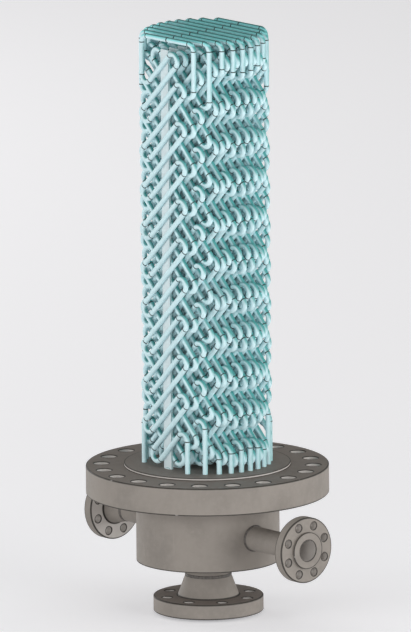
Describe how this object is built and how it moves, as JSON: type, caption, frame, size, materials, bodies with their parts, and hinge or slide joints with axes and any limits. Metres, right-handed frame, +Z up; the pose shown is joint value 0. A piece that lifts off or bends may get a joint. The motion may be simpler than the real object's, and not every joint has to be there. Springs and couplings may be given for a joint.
{
  "type": "shell and tube heat exchanger tube bundle with channel",
  "caption": "Upright heat exchanger core: serpentine tube layers on a drilled round tubesheet, over a flanged channel with side nozzles and a bottom nozzle to stand on.",
  "frame": {"origin": "centre of the bottom nozzle's raised face, which is the lowest face", "axes": "+Z up along the bundle, +X out of the right nozzle, +Y by the right-hand rule"},
  "size_m": [0.762, 0.6032, 1.475],
  "materials": {
    "forged_steel": "satin grey",
    "channel_steel": "satin grey",
    "tube": "smooth pale aqua",
    "spacer_bar": "pale aqua"
  },
  "bodies": {
    "root": {"bottom_nozzle_flange": "forged_steel", "bottom_nozzle_neck": "channel_steel", "channel_barrel": "channel_steel", "channel_bottom_plate": "channel_steel", "left_nozzle_flange": "forged_steel", "left_nozzle_pipe": "channel_steel", "right_nozzle_flange": "forged_steel", "right_nozzle_pipe": "channel_steel", "spacer_bar_01": "spacer_bar", "spacer_bar_02": "spacer_bar", "spacer_bar_03": "spacer_bar", "spacer_bar_04": "spacer_bar", "spacer_bar_05": "spacer_bar", "spacer_bar_06": "spacer_bar", "spacer_bar_07": "spacer_bar", "spacer_bar_08": "spacer_bar", "spacer_bar_09": "spacer_bar", "spacer_bar_10": "spacer_bar", "tube_circuit_01_falling": "tube", "tube_circuit_01_rising": "tube", "tube_circuit_02_falling": "tube", "tube_circuit_02_rising": "tube", "tube_circuit_03_falling": "tube", "tube_circuit_03_rising": "tube", "tube_circuit_04_falling": "tube", "tube_circuit_04_rising": "tube", "tube_circuit_05_falling": "tube", "tube_circuit_05_rising": "tube", "tube_circuit_06_falling": "tube", "tube_circuit_06_rising": "tube", "tube_circuit_07_falling": "tube", "tube_circuit_07_rising": "tube", "tube_circuit_08_falling": "tube", "tube_circuit_08_rising": "tube", "tube_circuit_09_falling": "tube", "tube_circuit_09_rising": "tube", "tube_circuit_10_falling": "tube", "tube_circuit_10_rising": "tube", "tubesheet_flange": "forged_steel"}
  },
  "joints": []
}
